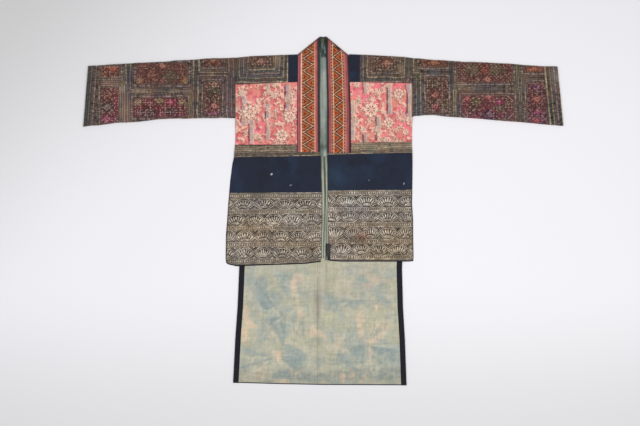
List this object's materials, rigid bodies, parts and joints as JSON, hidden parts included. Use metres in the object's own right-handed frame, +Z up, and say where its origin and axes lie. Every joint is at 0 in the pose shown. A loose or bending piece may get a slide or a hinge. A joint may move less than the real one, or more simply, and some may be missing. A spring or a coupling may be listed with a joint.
{
  "type": "hmong embroidered jacket",
  "caption": "Patchwork festival jacket laid flat, with embroidered sleeves, flowered chest panels, navy and batik bands, woven lapels and a pale lined back tail.",
  "frame": {"origin": "the middle of the jacket's outline, on the surface that it lies on", "axes": "+X to the wearer's left cuff, +Y from hem to neck, +Z up from the surface"},
  "size_m": [1.0742, 0.7807, 0.0061],
  "materials": {
    "navy_cloth": "plain indigo cotton, matt",
    "edge_binding": "near-black cotton binding, matt",
    "batik_cloth": "wax-resist batik hemp, matt",
    "patchwork_cloth": "cross-stitched patchwork, matt with thread sheen",
    "printed_cotton": "printed cotton, soft sheen",
    "woven_ribbon": "brocade-woven ribbon, satin",
    "pale_lining": "washed and stained cotton lining, matt",
    "collar_lining": "dark blue-green cotton, matt"
  },
  "bodies": {
    "root": {"back_edge_band_l": "edge_binding", "back_edge_band_r": "edge_binding", "back_lining_l": "pale_lining", "back_lining_r": "pale_lining", "back_outer": "navy_cloth", "back_yoke": "navy_cloth", "batik_hem_l": "batik_cloth", "batik_hem_r": "batik_cloth", "batik_strip_l": "batik_cloth", "batik_strip_r": "batik_cloth", "centre_facing_l": "pale_lining", "centre_facing_r": "pale_lining", "chest_panel_l": "printed_cotton", "chest_panel_r": "printed_cotton", "collar_lining": "collar_lining", "corner_patch_l": "edge_binding", "hem_binding_l": "edge_binding", "hem_binding_r": "edge_binding", "lapel_l": "woven_ribbon", "lapel_r": "woven_ribbon", "navy_band_l": "navy_cloth", "navy_band_r": "navy_cloth", "shoulder_block_l": "patchwork_cloth", "shoulder_block_r": "patchwork_cloth", "shoulder_yoke_l": "navy_cloth", "shoulder_yoke_r": "navy_cloth", "sleeve_cuff_l": "patchwork_cloth", "sleeve_cuff_r": "patchwork_cloth", "sleeve_inner_l": "patchwork_cloth", "sleeve_inner_r": "patchwork_cloth", "sleeve_middle_l": "patchwork_cloth", "sleeve_middle_r": "patchwork_cloth", "sleeve_outer_l": "patchwork_cloth", "sleeve_outer_r": "patchwork_cloth"}
  },
  "joints": []
}
